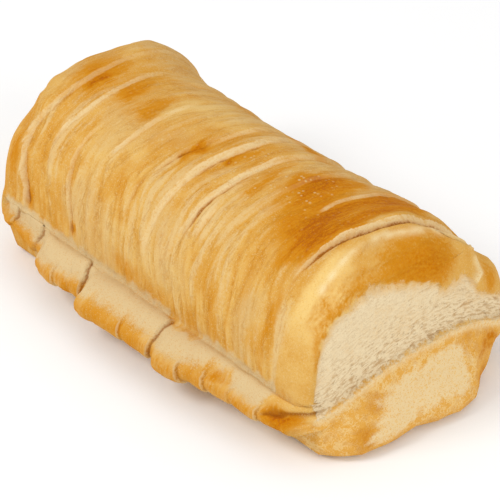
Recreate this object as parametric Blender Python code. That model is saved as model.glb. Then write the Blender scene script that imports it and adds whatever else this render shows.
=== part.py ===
"""Tin loaf: a long white loaf whose dough rose out of a shallow tin.

The loaf is one closed body, lofted from cross-sections that follow each other along X.
Below the tin's rim it has the tin's upright walls. Above the rim the dough swelled into a
dome, wrapped in overlapping rolls, and hung over the rim as a soft skirt. The +X end was torn
off a neighbouring loaf and shows bare crumb between the crust above and the tin wall below.

Metres, +Z up, +X towards the torn end, resting on Z = 0, origin under the middle.
"""
import math

import bpy

# Length and height
FAR_END = -0.137
NEAR_END = 0.134
TOP_MID = 0.0960
TOP_WAIST = 0.0945
TOP_FAR = 0.1000
TOP_NEAR = 0.1000

# Half widths of the dome, of the skirt's lip and of the tin-shaped foot
DOME_FAR = 0.0595
DOME_MID = 0.0613
DOME_NEAR = 0.0640
DOME_NEAR_EXTRA = 0.0055
SKIRT_FAR = 0.0640
SKIRT_SHOULDER = 0.0700
SKIRT_MID = 0.0808
SKIRT_NEAR = 0.0745
WALL_HALF = 0.0580
BASE_HALF = 0.0570
BASE_ROUND = 0.0060
DOME_POWER_LEFT = 2.3
DOME_POWER_RIGHT = 2.1
DOME_POWER_RIGHT_NEAR = 1.9

# The tin's rim, where the dome starts, and the skirt's lowest edge
RIM = 0.0320
SKIRT_FOOT_END = 0.0180
SKIRT_FOOT_MID = 0.0130
SKIRT_SLOPE = 0.0050
SKIRT_CUT = 0.0085
SKIRT_POWER = 2.4

# The rolls of dough: where each wrap ends, on the middle of the top
WRAP_EDGES = (-0.116, -0.096, -0.077, -0.058, -0.041, -0.025, -0.009,
              0.006, 0.020, 0.035, 0.051, 0.067, 0.084)
WRAP_DEPTH = 0.0013
WRAP_LEAN = 0.0060
LEAN_MIDDLE = 0.0650
WRAP_SKEW = 0.0035
PLEATS_PER_WRAP = 3
PLEAT_DEPTH = 0.0006
STEPS_PER_WRAP = 5

# The crack where the last wrap meets the smooth roll over the torn end, and the far thick rim
CRACK = 0.084
CRACK_SKEW = 0.10
CRACK_DEPTH = 0.0030
END_ROLL = 0.100
END_ROLL_STEPS = 4
FAR_RIM = -0.107
FAR_RIM_WIDTH = 0.012
FAR_RIM_SWELL = 0.0025
FAR_EASE = -0.090
NEAR_EASE = 0.050

# The skirt broke into pieces that step inwards where one ends and the next starts
SKIRT_BREAKS = (-0.100, -0.084, -0.043, 0.020, 0.075)
SKIRT_STEP = 0.0030
SKIRT_STEP_LENGTH = 0.016
BREAK_GAP = 0.0008

# The torn end
BULGE = 0.0160
END_CURVE = 0.0060
TEAR_BOTTOM_SIDE = 0.0330
TEAR_BOTTOM_MID = 0.0430
TEAR_TOP = 0.0860
TEAR_DEPTH = 0.0022
TEAR_EDGE = 0.0070
END_ROUND = 0.0090

# Points of one half section, from the top down, and the rings on each end face
DOME_POINTS = 14
SKIRT_POINTS = 6
BASE_POINTS = 4
BASE_SHARES = (0.72, 0.45, 0.16)
CAP_RINGS = (0.965, 0.90, 0.82, 0.72, 0.60, 0.45, 0.28, 0.12)
CAP_CENTRE = 0.052

CRUST_COLOUR = (0.72, 0.42, 0.13, 1.0)
CRUST_ROUGHNESS = 0.6


def remove_all_objects():
    for old in list(bpy.data.objects):
        bpy.data.objects.remove(old, do_unlink=True)


def smooth(t):
    """0 to 1 with level ends."""
    t = min(max(t, 0.0), 1.0)
    return t * t * (3.0 - 2.0 * t)


def along(place, *pairs):
    """A smooth value through (place, value) pairs, level at each of them."""
    if place <= pairs[0][0]:
        return pairs[0][1]
    for (a, low), (b, high) in zip(pairs, pairs[1:]):
        if place <= b:
            return low + (high - low) * smooth((place - a) / (b - a))
    return pairs[-1][1]


def dome_half(x, right):
    """Half width at the foot of the dome; near the torn end the +Y side swells further."""
    half = along(x, (-0.122, DOME_FAR), (0.0, DOME_MID), (0.122, DOME_NEAR))
    return half + right * DOME_NEAR_EXTRA * smooth((x - 0.030) / 0.060)


def top_height(x):
    return along(x, (-0.122, TOP_FAR - 0.004), (-0.106, TOP_FAR), (-0.078, TOP_WAIST),
                 (0.0, TOP_MID), (0.060, TOP_MID), (0.090, TOP_NEAR))


def skirt_lip(x):
    """Half width of the skirt, narrower just after each break."""
    lip = along(x, (-0.118, SKIRT_FAR), (-0.085, SKIRT_SHOULDER), (-0.030, SKIRT_MID),
                (0.040, SKIRT_MID), (0.100, SKIRT_NEAR))
    for place in SKIRT_BREAKS:
        if place <= x < place + SKIRT_STEP_LENGTH:
            lip -= SKIRT_STEP * (1.0 - smooth((x - place) / SKIRT_STEP_LENGTH))
    return lip


def skirt_foot(x):
    return along(x, (-0.122, SKIRT_FOOT_END), (-0.070, SKIRT_FOOT_MID),
                 (0.020, SKIRT_FOOT_MID), (0.108, SKIRT_FOOT_END))


def superellipse(angle, power):
    """Cosine and sine of an angle, squared off by a power above 2."""
    c = math.cos(angle)
    s = math.sin(angle)
    return (math.copysign(abs(c) ** (2.0 / power), c), math.copysign(abs(s) ** (2.0 / power), s))


def half_section(x, plain, right):
    """(y, z, share) from the top to near the middle of the base; share is 1 on the dome.

    Where plain is 1 the skirt is gone and the dome runs straight down into the wall.
    """
    points = []
    top = top_height(x)
    power = DOME_POWER_LEFT
    if right:
        power = along(x, (0.030, DOME_POWER_RIGHT), (0.100, DOME_POWER_RIGHT_NEAR))
    for k in range(DOME_POINTS):
        angle = math.pi / 2.0 * (1.0 - k / (DOME_POINTS - 1))
        c, s = superellipse(angle, power)
        points.append((dome_half(x, right) * c, RIM + (top - RIM) * s, 1.0))
    foot = skirt_foot(x)
    lip = skirt_lip(x)
    mid = (RIM - SKIRT_SLOPE + foot) / 2.0
    rise = (RIM - SKIRT_SLOPE - foot) / 2.0
    for k in range(SKIRT_POINTS):
        angle = math.radians(70.0 - 150.0 * k / (SKIRT_POINTS - 1))
        c, s = superellipse(angle, SKIRT_POWER)
        y = lip - SKIRT_CUT + SKIRT_CUT * c
        z = mid + rise * s
        wall = RIM - (RIM - foot) * (k + 1) / (SKIRT_POINTS + 1)
        points.append((y + (WALL_HALF + 0.002 - y) * plain, z + (wall - z) * plain, 0.0))
    points.append((WALL_HALF, foot + 0.004 * (1.0 - plain), 0.0))
    for k in range(BASE_POINTS):
        angle = -math.pi / 2.0 * k / (BASE_POINTS - 1)
        points.append((BASE_HALF - BASE_ROUND + BASE_ROUND * math.cos(angle),
                       BASE_ROUND + BASE_ROUND * math.sin(angle), 0.0))
    points += [(BASE_HALF * share, 0.0, 0.0) for share in BASE_SHARES]
    return points


def full_section(x, plain=0.0):
    """The whole ring: down the +Y side, under the base and up the -Y side."""
    right = half_section(x, plain, 1)
    left = [(-y, z, share) for y, z, share in reversed(half_section(x, plain, 0)[1:])]
    return right + left


def wrap_relief(station, height):
    """How far the rolls stand out or sink in, at a station and a height on the dome."""
    for start, end in zip(WRAP_EDGES, WRAP_EDGES[1:]):
        if start <= station <= end:
            u = (station - start) / (end - start)
            roll = WRAP_DEPTH * (1.0 - abs(2.0 * u - 1.0) ** 2.5) - WRAP_DEPTH / 2.0
            side = 1.0 - smooth((height - 0.055) / 0.030)
            pleat = PLEAT_DEPTH * side * (abs(math.sin(PLEATS_PER_WRAP * math.pi * u)) - 0.5)
            return roll + pleat
    return 0.0


def crust_relief(station, height):
    relief = wrap_relief(station, height)
    if abs(station - CRACK) < BREAK_GAP / 2.0:
        relief -= CRACK_DEPTH * smooth((height - 0.045) / 0.030)
    rim = max(0.0, 1.0 - abs(station - FAR_RIM) / FAR_RIM_WIDTH)
    relief += FAR_RIM_SWELL * smooth(rim)
    return relief


def near_back(y, z):
    """How far the torn end stands back from the loaf's full length, at a place on the face."""
    upright = along(z, (0.0, 0.004), (0.004, 0.0), (0.043, 0.013), (0.080, 0.016), (0.087, 0.021),
                    (0.092, 0.027), (0.096, 0.032), (0.099, 0.037), (0.102, 0.042))
    foot = BULGE * (1.0 - smooth(z / 0.045)) * abs((y - 0.002) / 0.058) ** 2.4
    sides = END_CURVE * abs((y - 0.008) / 0.060) ** 2.4
    return upright + foot + sides - 0.001


def tear_depth(y, z):
    """The crumb lies behind the tin wall's upper edge and behind the edge of the crust."""
    bottom = TEAR_BOTTOM_MID - (TEAR_BOTTOM_MID - TEAR_BOTTOM_SIDE) * min(1.0, (y / 0.050) ** 2)
    top = TEAR_TOP - 0.012 * smooth((y - 0.0) / 0.020) - 0.020 * smooth((abs(y) - 0.030) / 0.025)
    above = smooth((z - bottom) / TEAR_EDGE)
    below = smooth((top - z) / TEAR_EDGE)
    return TEAR_DEPTH * above * below


def far_back(y, z):
    upright = along(z, (0.0, 0.009), (0.020, 0.005), (0.045, 0.003), (0.070, 0.005),
                    (0.090, 0.011), (0.098, 0.018), (0.102, 0.023))
    return upright + END_CURVE * abs(y / 0.060) ** 3.0


def edge_round(z):
    """An end's outer edge is rounded at the sides, less at the foot, and merges with the dome."""
    foot = 0.5 * (1.0 - smooth((z - 0.010) / 0.030))
    return END_ROUND * (1.0 - 0.9 * smooth((z - 0.070) / 0.025) - foot)


def station_places():
    """Stations along the loaf: equal steps in each wrap, and a close pair at each skirt break."""
    breaks = [place + side for place in SKIRT_BREAKS for side in (-BREAK_GAP, BREAK_GAP)]
    places = []
    for start, end in zip(WRAP_EDGES, WRAP_EDGES[1:]):
        for k in range(STEPS_PER_WRAP):
            place = start + (end - start) * k / STEPS_PER_WRAP
            if k == 0 or min(abs(place - other) for other in breaks) > 2.0 * BREAK_GAP:
                places.append(place)
    for k in range(END_ROLL_STEPS + 1):
        places.append(CRACK + (END_ROLL - CRACK) * k / END_ROLL_STEPS)
    return sorted(places + breaks)


def station_x(station, y, z, share):
    """Where a station lies at a place on its ring.

    The rolls' feet lie nearer the torn end than their tops, and they run a little askew. Towards
    each end they give way to the end's own shape, and past the crack the smooth end roll fills
    what is left.
    """
    lean = WRAP_LEAN * (LEAN_MIDDLE - z) / (LEAN_MIDDLE - RIM) * share + WRAP_SKEW * y / DOME_MID
    if station < FAR_EASE:
        first = FAR_END + far_back(y, z) + edge_round(z)
        eased = (station - WRAP_EDGES[0]) / (FAR_EASE - WRAP_EDGES[0])
        return first + (FAR_EASE + lean - first) * eased
    if station <= NEAR_EASE:
        return station + lean
    crack = CRACK + CRACK_SKEW * y
    if station <= CRACK:
        eased = (station - NEAR_EASE) / (CRACK - NEAR_EASE)
        return NEAR_EASE + lean + (crack - NEAR_EASE - lean) * eased
    last = NEAR_END - near_back(y, z) - edge_round(z)
    return crack + (last - crack) * (station - CRACK) / (END_ROLL - CRACK)


def body_ring(station):
    section = full_section(station)
    count = len(section)
    ring = []
    for k, (y, z, share) in enumerate(section):
        before = section[k - 1]
        after = section[(k + 1) % count]
        fall = before[1] - after[1]
        run = after[0] - before[0]
        size = math.hypot(fall, run)
        relief = crust_relief(station, z) * share * smooth((z - RIM) / 0.010)
        y += fall / size * relief
        z += run / size * relief
        ring.append((station_x(station, y, z, share), y, z))
    return ring


def cap_ring(station, scale, near):
    """A smaller ring on an end face, pushed back where the face is."""
    ring = []
    inner = min(max((scale - 0.80) / 0.20, 0.0), 1.0)
    curl = 1.0 - math.sqrt(1.0 - inner * inner)
    for y, z, _ in full_section(station, smooth((1.0 - scale) / 0.03)):
        y *= scale
        z = CAP_CENTRE + (z - CAP_CENTRE) * scale
        if near:
            x = NEAR_END - near_back(y, z) - tear_depth(y, z) - edge_round(z) * curl
        else:
            x = FAR_END + far_back(y, z) + edge_round(z) * curl
        ring.append((x, y, z))
    return ring


def loaf_rings():
    places = station_places()
    rings = [cap_ring(places[0], scale, False) for scale in reversed(CAP_RINGS)]
    rings += [body_ring(place) for place in places]
    rings += [cap_ring(places[-1], scale, True) for scale in CAP_RINGS]
    return rings


def loft(name, rings, shift):
    """Skins the rings into one closed body and fans each last ring to its centre."""
    count = len(rings[0])
    points = [(x + shift, y, z) for ring in rings for x, y, z in ring]
    faces = []
    for row in range(len(rings) - 1):
        for k in range(count):
            a = row * count + k
            b = row * count + (k + 1) % count
            faces.append((a, a + count, b + count, b))
    for row, flip in ((0, False), (len(rings) - 1, True)):
        ring = [row * count + k for k in range(count)]
        middle = [sum(points[v][axis] for v in ring) / count for axis in range(3)]
        points.append(tuple(middle))
        centre = len(points) - 1
        for k in range(count):
            a, b = ring[k], ring[(k + 1) % count]
            faces.append((b, a, centre) if flip else (a, b, centre))
    mesh = bpy.data.meshes.new(name)
    mesh.from_pydata(points, [], faces)
    mesh.validate()
    mesh.update()
    loaf = bpy.data.objects.new(name, mesh)
    bpy.context.scene.collection.objects.link(loaf)
    return loaf


def crust_material():
    material = bpy.data.materials.new("crust")
    material.use_nodes = True
    shader = material.node_tree.nodes["Principled BSDF"]
    shader.inputs["Base Color"].default_value = CRUST_COLOUR
    shader.inputs["Roughness"].default_value = CRUST_ROUGHNESS
    shader.inputs["Metallic"].default_value = 0.0
    return material


def build_loaf():
    rings = loaf_rings()
    every_x = [point[0] for ring in rings for point in ring]
    shift = -(min(every_x) + max(every_x)) / 2.0
    loaf = loft("loaf", rings, shift)
    loaf.data.materials.append(crust_material())
    loaf.data.shade_smooth()
    loaf.data.set_sharp_from_angle(angle=math.radians(50.0))
    return loaf


remove_all_objects()
build_loaf()
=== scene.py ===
# %% [markdown]
# # A tin loaf, from a plain blank to baked bread
#
# The real loaf rose out of a shallow tin. Below the rim it kept the tin's upright walls. Above
# the rim the dough was free: it swelled into a long dome of overlapping rolls, and it sagged over
# the rim as a soft skirt. One end was torn off a neighbour, so its crumb lies bare.
# Everything here is one piece of bread, so it becomes one closed mesh.

# %% Load the frame
import math

import bpy
import numpy as np
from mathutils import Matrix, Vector, noise


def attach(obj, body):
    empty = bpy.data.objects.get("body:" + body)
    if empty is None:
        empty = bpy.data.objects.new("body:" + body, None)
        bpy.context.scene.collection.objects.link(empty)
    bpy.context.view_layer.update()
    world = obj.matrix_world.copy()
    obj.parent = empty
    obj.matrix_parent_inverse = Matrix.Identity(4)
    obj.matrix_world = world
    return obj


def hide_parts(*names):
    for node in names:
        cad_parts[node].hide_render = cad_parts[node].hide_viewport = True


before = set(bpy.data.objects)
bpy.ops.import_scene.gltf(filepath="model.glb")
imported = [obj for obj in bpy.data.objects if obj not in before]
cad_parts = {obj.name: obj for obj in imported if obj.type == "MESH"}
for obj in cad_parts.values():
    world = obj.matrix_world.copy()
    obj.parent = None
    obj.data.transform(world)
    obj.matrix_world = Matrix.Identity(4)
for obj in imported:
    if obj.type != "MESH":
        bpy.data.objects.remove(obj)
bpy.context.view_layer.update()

# %% [markdown]
# ## The blank
#
# A loaf could be sculpted by hand, or lofted from a few dozen slices. Both lose the thin pleats
# that run round the crust. Here a plain tube is cut finely, like graph paper, and every point of
# it is then carried to its place on the loaf by a rule. The tube's own numbers stay useful:
# how far along a point is, how far round, and on the two ends how far in.

# %% Sizes of the blank
RING = 320
BLANK_RADIUS, BLANK_LENGTH = 0.05, 0.20
LAST_INSET = 0.02
NEAR_RINGS, FAR_RINGS = 46, 7
NEAR_STEPS = [1.0 / NEAR_RINGS] * NEAR_RINGS
FAR_STEPS = [0.03, 0.03, 0.04] + [0.90 / FAR_RINGS] * FAR_RINGS
FIRST_CUTS, SECOND_CUTS = 14, 16
print("slices along the blank:", (FIRST_CUTS + 1) * (SECOND_CUTS + 1))


# %% Select the blank's faces and edges by place
def only(piece):
    """Makes one object the only one selected, and active."""
    bpy.ops.object.select_all(action="DESELECT")
    piece.select_set(True)
    bpy.context.view_layer.objects.active = piece


def clear_selection(piece, mode):
    only(piece)
    bpy.ops.object.mode_set(mode="EDIT")
    bpy.ops.mesh.select_mode(type=mode)
    bpy.ops.mesh.select_all(action="DESELECT")
    bpy.ops.object.mode_set(mode="OBJECT")


def select_end(mesh, side):
    for face in mesh.polygons:
        face.select = face.normal.x * side > 0.9 and len(face.vertices) > 4


def select_lengthways(mesh):
    """The tube's long edges: both ends at the full radius, and no turn between them."""
    for edge in mesh.edges:
        a, b = (mesh.vertices[v].co for v in edge.vertices)
        same_turn = math.hypot(a.y - b.y, a.z - b.z) < 1e-5
        edge.select = same_turn and abs(a.x - b.x) > 1e-4


print("faces are picked by their normal, edges by the places of their ends")


# %% Make the tube, inset its ends and cut it lengthways
bpy.ops.object.select_all(action="DESELECT")
bpy.ops.mesh.primitive_cylinder_add(vertices=RING, radius=BLANK_RADIUS, depth=BLANK_LENGTH,
                                    end_fill_type="NGON", rotation=(0.0, math.pi / 2.0, 0.0))
loaf = bpy.context.active_object
loaf.name = "baked_loaf"
loaf.data.name = "baked_loaf"
bpy.ops.object.transform_apply(location=True, rotation=True, scale=True)
for side, steps in ((1.0, NEAR_STEPS), (-1.0, FAR_STEPS)):
    clear_selection(loaf, "FACE")
    select_end(loaf.data, side)
    bpy.ops.object.mode_set(mode="EDIT")
    for step in steps:
        bpy.ops.mesh.inset(thickness=BLANK_RADIUS * (1.0 - LAST_INSET) * step)
    bpy.ops.mesh.poke()
    bpy.ops.object.mode_set(mode="OBJECT")
for cuts in (FIRST_CUTS, SECOND_CUTS):
    clear_selection(loaf, "EDGE")
    select_lengthways(loaf.data)
    bpy.ops.object.mode_set(mode="EDIT")
    bpy.ops.mesh.subdivide(number_cuts=cuts)
    bpy.ops.object.mode_set(mode="OBJECT")
print("the blank has", len(loaf.data.vertices), "points and", len(loaf.data.polygons), "faces")

# %% [markdown]
# ## Reading the blank
#
# Each point of the blank becomes three numbers. `station` is the place along the loaf. `turn`
# goes from 0 on the ridge of the top to 1 under the middle of the base, on either side. `inset`
# shrinks from 1 on the crust to 0 in the middle of an end. The points are shared out unevenly
# round the loaf: the long side with the deepest pleats gets more of them than the floor.

# %% Read station, turn and inset
# millimetres in a metre
MM = 1000.0
FAR_STATION, NEAR_STATION = -0.116, 0.100
DOME_SHARE, SKIRT_SHARE, WALL_SHARE = 0.62, 0.20, 0.08
SKIRT_END = DOME_SHARE + SKIRT_SHARE
WALL_END = SKIRT_END + WALL_SHARE
BASE_SHARE = 1.0 - DOME_SHARE - SKIRT_SHARE - WALL_SHARE
# millimetres over the dome, from its ridge to its foot
DOME_ROUND = 100.0
# point of the ring and signed turn: from the base up the right side, over the top, down the left
RING_TURNS = ((0, 1.0), (10, 0.90), (16, 0.82), (42, 0.62), (88, 0.28), (138, 0.0), (250, -0.62),
              (302, -0.82), (310, -0.90), (RING, -1.0))
PLEATED_STEPS = 250 - 138

points = np.empty(len(loaf.data.vertices) * 3)
loaf.data.vertices.foreach_get("co", points)
points = points.reshape(-1, 3)
share_along = np.clip(points[:, 0] / BLANK_LENGTH + 0.5, 0.0, 1.0)
station = FAR_STATION + (NEAR_STATION - FAR_STATION) * share_along
inset = np.minimum(np.hypot(points[:, 1], points[:, 2]) / BLANK_RADIUS, 1.0)
ring_share = np.mod(np.arctan2(points[:, 1], -points[:, 2]) / (2.0 * math.pi), 1.0)
signed_turn = np.interp(ring_share * RING, *zip(*RING_TURNS))
side = np.where(signed_turn < 0.0, -1.0, 1.0)
turn = np.abs(signed_turn)
on_side = inset > 0.999
on_near = (share_along > 0.999) & ~on_side
on_far = (share_along < 0.001) & ~on_side
print("one step round the pleated side is", round(DOME_ROUND / PLEATED_STEPS, 2), "mm")


# %% Helpers for smooth values and noise
def smooth(t):
    t = np.clip(t, 0.0, 1.0)
    return t * t * (3.0 - 2.0 * t)


def along(place, *pairs):
    """A smooth value through (place, value) pairs, level at each of them."""
    at, value = np.array(pairs, dtype=float).T
    k = np.clip(np.searchsorted(at, place) - 1, 0, len(at) - 2)
    return value[k] + (value[k + 1] - value[k]) * smooth((place - at[k]) / (at[k + 1] - at[k]))


def curve(place, pairs):
    """A flowing line through (place, value) pairs, held level beyond its ends."""
    at, value = np.array(pairs, dtype=float).T
    slope = np.gradient(value, at)
    k = np.clip(np.searchsorted(at, place) - 1, 0, len(at) - 2)
    step = at[k + 1] - at[k]
    t = np.clip((place - at[k]) / step, 0.0, 1.0)
    start = (t - 2.0 * t ** 2 + t ** 3) * step * slope[k]
    end = (t ** 3 - t ** 2) * step * slope[k + 1]
    return value[k] + (value[k + 1] - value[k]) * smooth(t) + start + end


def bell(distance, width):
    return np.exp(-(distance / width) ** 2)


def cloud(u, v, w=0.0):
    """Smooth noise, about -1 to 1, at three coordinates given in cells."""
    u, v, w = np.broadcast_arrays(u, v, w)
    return np.array([noise.noise((a, b, c)) for a, b, c in zip(u.tolist(), v.tolist(), w.tolist())])


print("a quarter of the way along, smooth() has risen to", float(smooth(0.25)))


# %% [markdown]
# ## The smooth form
#
# One cross-section is a squared-off half round for the dome, a small roll for the skirt, and the
# tin's wall and floor. Its sizes change slowly along the loaf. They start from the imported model,
# which was set against a view of the real loaf from a metre and a half away, and they refine its
# skirt and its two ends.

# %% Sizes of the loaf
FAR_END, NEAR_END = -0.137, 0.134
RIM = 0.0320
WALL_HALF, BASE_HALF, BASE_ROUND = 0.0580, 0.0570, 0.0060
END_WALL_HALF = WALL_HALF + 0.002
SKIRT_SLOPE, SKIRT_CUT, SKIRT_POWER = 0.0050, 0.0085, 2.4
END_ROUND, END_CURVE, FAR_CURVE = 0.0090, 0.0060, 0.0060
CAP_CENTRE = 0.052
CRACK = 0.0845


def dome_half(x, right):
    half = along(x, (-0.122, 0.0595), (0.0, 0.0613), (0.122, 0.0640))
    uneven = along(x, (-0.114, 0.0042), (-0.093, -0.0008), (-0.072, 0.0022), (-0.055, 0.0005),
                   (-0.030, -0.0020), (0.0, -0.0015), (0.030, -0.0016), (0.055, 0.0034),
                   (0.082, 0.0034), (0.110, 0.0058))
    return half + right * uneven


def top_height(x):
    return along(x, (-0.122, 0.0935), (-0.106, 0.0968), (-0.078, 0.0945), (0.0, 0.0960),
                 (0.060, 0.0960), (0.090, 0.1000))


def skirt_lip(x):
    return along(x, (-0.116, 0.0610), (-0.112, 0.0645), (-0.107, 0.0650), (-0.095, 0.0658),
                 (-0.090, 0.0670), (-0.083, 0.0740), (-0.078, 0.0760), (-0.070, 0.0768),
                 (-0.062, 0.0752), (-0.055, 0.0736), (-0.048, 0.0738), (-0.043, 0.0832),
                 (-0.038, 0.0835), (-0.030, 0.0815), (0.0, 0.0800), (0.012, 0.0798), (0.018, 0.0835),
                 (0.032, 0.0830), (0.040, 0.0782), (0.060, 0.0762), (0.070, 0.0758), (0.080, 0.0765),
                 (0.100, 0.0726))


def skirt_foot(x):
    return along(x, (-0.122, 0.0220), (-0.112, 0.0200), (-0.095, 0.0150), (-0.070, 0.0130),
                 (0.020, 0.0130), (0.108, 0.0180))


print("at mid-length the dome is", round(2.0 * float(dome_half(0.0, 0.0)), 4), "m wide and",
      round(float(top_height(0.0)), 4), "m high")


# %% Cross-section: the dome, the skirt, the wall and the floor
# the share of the skirt that is its shelf, and how far that shelf arches
SHELF, SHELF_ARCH = 0.35, 0.0026
# degrees round the roll below the shelf
ROLL_FROM, ROLL_TO = 70.0, -80.0
# how much higher the wall starts than the roll's lowest point
UNDERCUT = 0.004


def powered(degrees, power):
    c, s = np.cos(np.radians(degrees)), np.sin(np.radians(degrees))
    return np.sign(c) * np.abs(c) ** (2.0 / power), np.sign(s) * np.abs(s) ** (2.0 / power)


def share(turn, start, length):
    return np.clip((turn - start) / length, 0.0, 1.0)


def section(x, turn, right, plain):
    """(y, z) of the ring at a station; where plain is 1 the skirt is gone."""
    power = np.where(right > 0, along(x, (-0.112, 2.75), (-0.082, 2.1), (0.030, 2.1), (0.100, 1.9)),
                     along(x, (-0.112, 2.5), (-0.090, 2.3)))
    half, top, foot, lip = dome_half(x, right), top_height(x), skirt_foot(x), skirt_lip(x)
    c, s = powered(90.0 * (1.0 - share(turn, 0.0, DOME_SHARE)), power)
    dome_y, dome_z = half * c, RIM + (top - RIM) * s

    v = share(turn, DOME_SHARE, SKIRT_SHARE)
    middle, rise = (RIM - SKIRT_SLOPE + foot) / 2.0, (RIM - SKIRT_SLOPE - foot) / 2.0
    c, s = powered(ROLL_FROM - (ROLL_FROM - ROLL_TO) * share(v, SHELF, 1.0 - SHELF), SKIRT_POWER)
    roll_y, roll_z = lip - SKIRT_CUT + SKIRT_CUT * c, middle + rise * s
    on_shelf = share(v, 0.0, SHELF)
    skirt_y = half + (roll_y - half) * on_shelf
    skirt_z = RIM + (roll_z - RIM) * on_shelf + SHELF_ARCH * np.sin(math.pi * on_shelf)
    skirt_y = skirt_y + (END_WALL_HALF - skirt_y) * plain
    skirt_z = skirt_z + (RIM - (RIM - foot) * v - skirt_z) * plain

    w = share(turn, SKIRT_END, WALL_SHARE)
    tuck, drop = share(w, 0.0, 0.4), share(w, 0.4, 0.6)
    c, s = powered(ROLL_TO, SKIRT_POWER)
    under_y = (lip - SKIRT_CUT + SKIRT_CUT * c) * (1.0 - plain) + END_WALL_HALF * plain
    under_z = (middle + rise * s) * (1.0 - plain) + foot * plain
    inner_z = foot + UNDERCUT * (1.0 - plain)
    wall_y = under_y + (WALL_HALF - under_y) * tuck + (BASE_HALF - WALL_HALF) * drop
    wall_z = under_z + (inner_z - under_z) * tuck + (BASE_ROUND - inner_z) * drop

    b = share(turn, WALL_END, BASE_SHARE)
    corner, across = -math.pi / 2.0 * share(b, 0.0, 0.3), share(b, 0.3, 0.7)
    base_y = (BASE_HALF - BASE_ROUND) * (1.0 - across) + BASE_ROUND * np.cos(corner) * (1.0 - across)
    base_z = BASE_ROUND + BASE_ROUND * np.sin(corner)
    zones = [turn <= DOME_SHARE, turn <= SKIRT_END, turn <= WALL_END]
    all_y, all_z = [dome_y, skirt_y, wall_y], [dome_z, skirt_z, wall_z]
    return np.select(zones, all_y, base_y), np.select(zones, all_z, base_z)


three_turns = np.array([0.0, DOME_SHARE, 1.0])
heights = section(np.zeros(3), three_turns, np.zeros(3), np.zeros(3))[1]
print("ridge, rim and base at mid-length:", [round(float(height), 4) for height in heights], "m")


# %% The two ends, and how the rolls bow across the top
END_MIDDLE, FAR_MIDDLE, END_HALF = 0.008, 0.002, 0.060


def near_back(y, z):
    """How far the torn end stands back from the full length."""
    upright = along(z, (0.0, 0.003), (0.004, -0.0005), (0.043, 0.013), (0.080, 0.016), (0.087, 0.021),
                    (0.092, 0.027), (0.096, 0.032), (0.099, 0.037), (0.102, 0.042))
    foot = along(y, (-0.058, 0.0112), (-0.040, 0.0034), (-0.020, 0.0026), (-0.008, 0.0044),
                 (0.004, 0.0008), (0.018, -0.0016), (0.030, 0.0008), (0.045, 0.0110), (0.058, 0.0200))
    foot = foot * (1.0 - smooth(z / np.where(y < 0.0, 0.045, 0.032)))
    bend = np.where(y > END_MIDDLE, 0.0040, END_CURVE)
    return upright + foot + bend * np.abs((y - END_MIDDLE) / END_HALF) ** 2.4 - 0.001


def far_back(y, z):
    upright = along(z, (0.0, 0.009), (0.020, 0.005), (0.045, 0.003), (0.070, 0.005),
                    (0.086, 0.009), (0.094, 0.018), (0.102, 0.027))
    shoulder = along(y, (-0.060, 0.0035), (-0.052, 0.0060), (-0.032, 0.0030), (-0.018, -0.0020),
                     (-0.003, -0.0046), (0.014, -0.0016), (0.030, 0.0), (0.044, 0.0025), (0.056, 0.0010))
    corner = 0.0048 * bell(z - 0.025, 0.011) * smooth((-y - 0.030) / 0.025)
    bend = FAR_CURVE * np.abs((y - FAR_MIDDLE) / END_HALF) ** 3.0
    return upright + shoulder * smooth((z - 0.062) / 0.020) - corner + bend


def edge_round(z):
    foot = 0.5 * (1.0 - smooth((z - 0.010) / 0.030))
    return END_ROUND * (1.0 - 0.9 * smooth((z - 0.070) / 0.025) - foot)


def bow(around):
    """A roll's shoulder lies back from its foot, and its right side lies forward; millimetres."""
    return curve(around, ((-100, 3), (-85, 0), (-70, -3.5), (-45, -6.5), (-25, -4.5), (0, 0), (25, 5),
                          (60, 8), (100, 9)))


print("high up the torn end stands back", round(MM * float(near_back(0.0, 0.096)), 1), "mm")


# %% Carry the blank's points to the smooth form
FAR_EASE = -0.090
# the last roll swells out low down on the right
LOW_SWELL = 0.0042
around = side * DOME_ROUND * turn / DOME_SHARE
plain = np.where(on_side, 0.0, smooth((1.0 - inset) / 0.03))
ring_y, z = section(station, turn, (side > 0).astype(float), plain)
ring_y = ring_y + (LOW_SWELL * (side > 0) * smooth((station - 0.080) / 0.015)
                   * smooth((0.045 - z) / 0.010))
y = ring_y * side * inset
z = np.where(on_side, z, CAP_CENTRE + (z - CAP_CENTRE) * inset)
lean = bow(np.clip(around, -DOME_ROUND, DOME_ROUND)) / MM
first = FAR_END + far_back(y, z) + edge_round(z)
last = NEAR_END - near_back(y, z) - edge_round(z)
eased = (station - FAR_STATION) / (FAR_EASE - FAR_STATION)
past = (station - CRACK) / (NEAR_STATION - CRACK)
x = np.where(station < FAR_EASE, first + (FAR_EASE + lean - first) * eased, station + lean)
x = np.where(station > CRACK, CRACK + lean + (last - CRACK - lean) * past, x)
curl = 1.0 - np.sqrt(1.0 - np.clip((inset - 0.80) / 0.20, 0.0, 1.0) ** 2)
x = np.where(on_near, NEAR_END - near_back(y, z) - edge_round(z) * curl, x)
x = np.where(on_far, FAR_END + far_back(y, z) + edge_round(z) * curl, x)


def put(mesh, *columns):
    """Writes the points to the mesh and returns the normals there."""
    mesh.vertices.foreach_set("co", np.stack(columns, 1).ravel())
    mesh.update()
    normals = np.empty(len(mesh.vertices) * 3)
    mesh.vertices.foreach_get("normal", normals)
    return normals.reshape(-1, 3)


normals = put(loaf.data, x, y, z)
print("smooth form", [round(float(c.max() - c.min()), 4) for c in (x, y, z)], "m")

# %% [markdown]
# ## Where each kind of surface lies
#
# Crust, crumb, skirt and tin wall look different and have different relief. Each is found from
# where a point is. From here on places and distances are in millimetres, since that is how the
# marks on a loaf are measured with a ruler.

# %% Places in millimetres
px, py, pz = MM * x, MM * y, MM * z
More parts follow.
